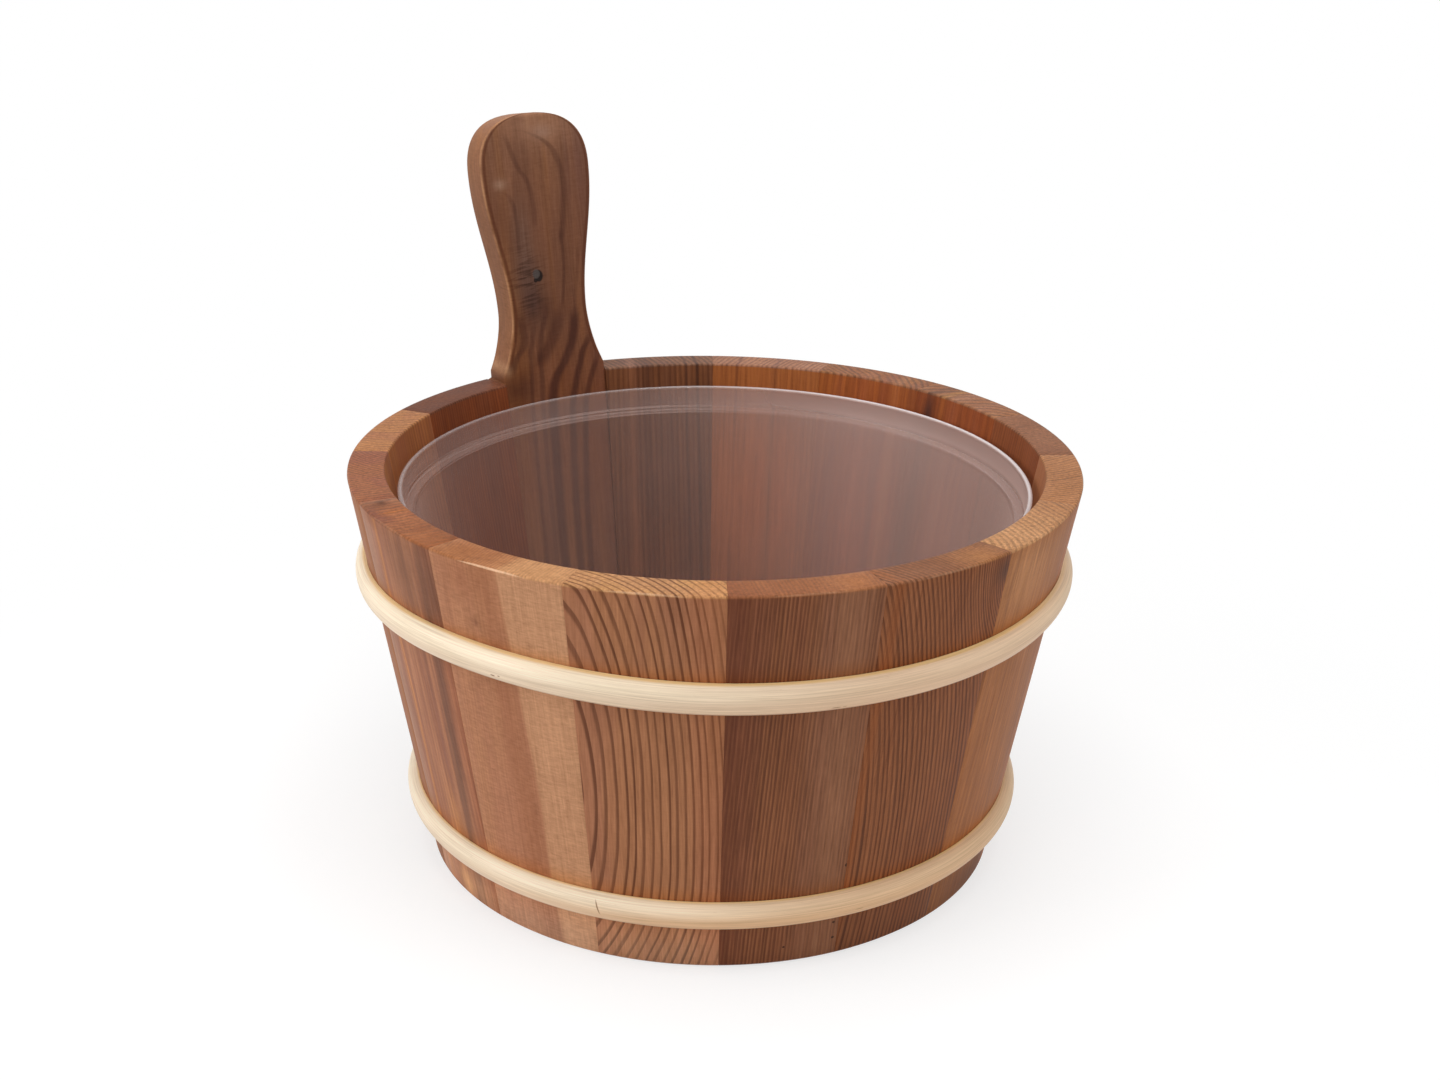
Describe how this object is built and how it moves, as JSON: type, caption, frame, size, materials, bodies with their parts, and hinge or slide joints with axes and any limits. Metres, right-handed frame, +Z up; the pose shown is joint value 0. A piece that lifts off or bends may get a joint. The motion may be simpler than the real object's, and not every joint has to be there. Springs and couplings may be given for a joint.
{
  "type": "wooden sauna bucket",
  "caption": "Round tapered pail of wooden staves with one stave drawn up into a paddle handle, cane hoops round the outside and a clear loose liner inside.",
  "frame": {"origin": "centre of the pail's foot, on the plane that the staves stand on", "axes": "+Z up along the pail's axis, +Y towards the handle, +X to the right of someone who faces the handle from inside the pail"},
  "size_m": [0.2596, 0.2767, 0.2473],
  "materials": {
    "light_wood": "fine sanded, unlacquered, light tan softwood with plain grain",
    "mid_wood": "fine sanded, unlacquered, mid brown softwood with clear growth lines",
    "dark_wood": "fine sanded, unlacquered, dark reddish brown softwood",
    "bottom_wood": "planed, unlacquered softwood",
    "cane": "peeled half-round cane, smooth with fine long fibres",
    "brad_steel": "plain bright wire brads",
    "liner_plastic": "thin natural plastic, milky and see-through"
  },
  "bodies": {
    "root": {"handle_stave": "dark_wood", "stave_01": "dark_wood", "stave_02": "mid_wood", "stave_03": "mid_wood", "stave_04": "dark_wood", "stave_05": "mid_wood", "stave_06": "light_wood", "stave_07": "dark_wood", "stave_08": "mid_wood", "stave_09": "light_wood", "stave_10": "light_wood", "stave_11": "mid_wood", "stave_12": "mid_wood", "stave_13": "mid_wood", "stave_14": "light_wood", "stave_15": "dark_wood", "bottom_board_left": "bottom_wood", "bottom_board_middle": "bottom_wood", "bottom_board_right": "bottom_wood", "upper_hoop": "cane", "lower_hoop": "cane", "hoop_brads": "brad_steel", "plastic_liner": "liner_plastic"}
  },
  "joints": []
}
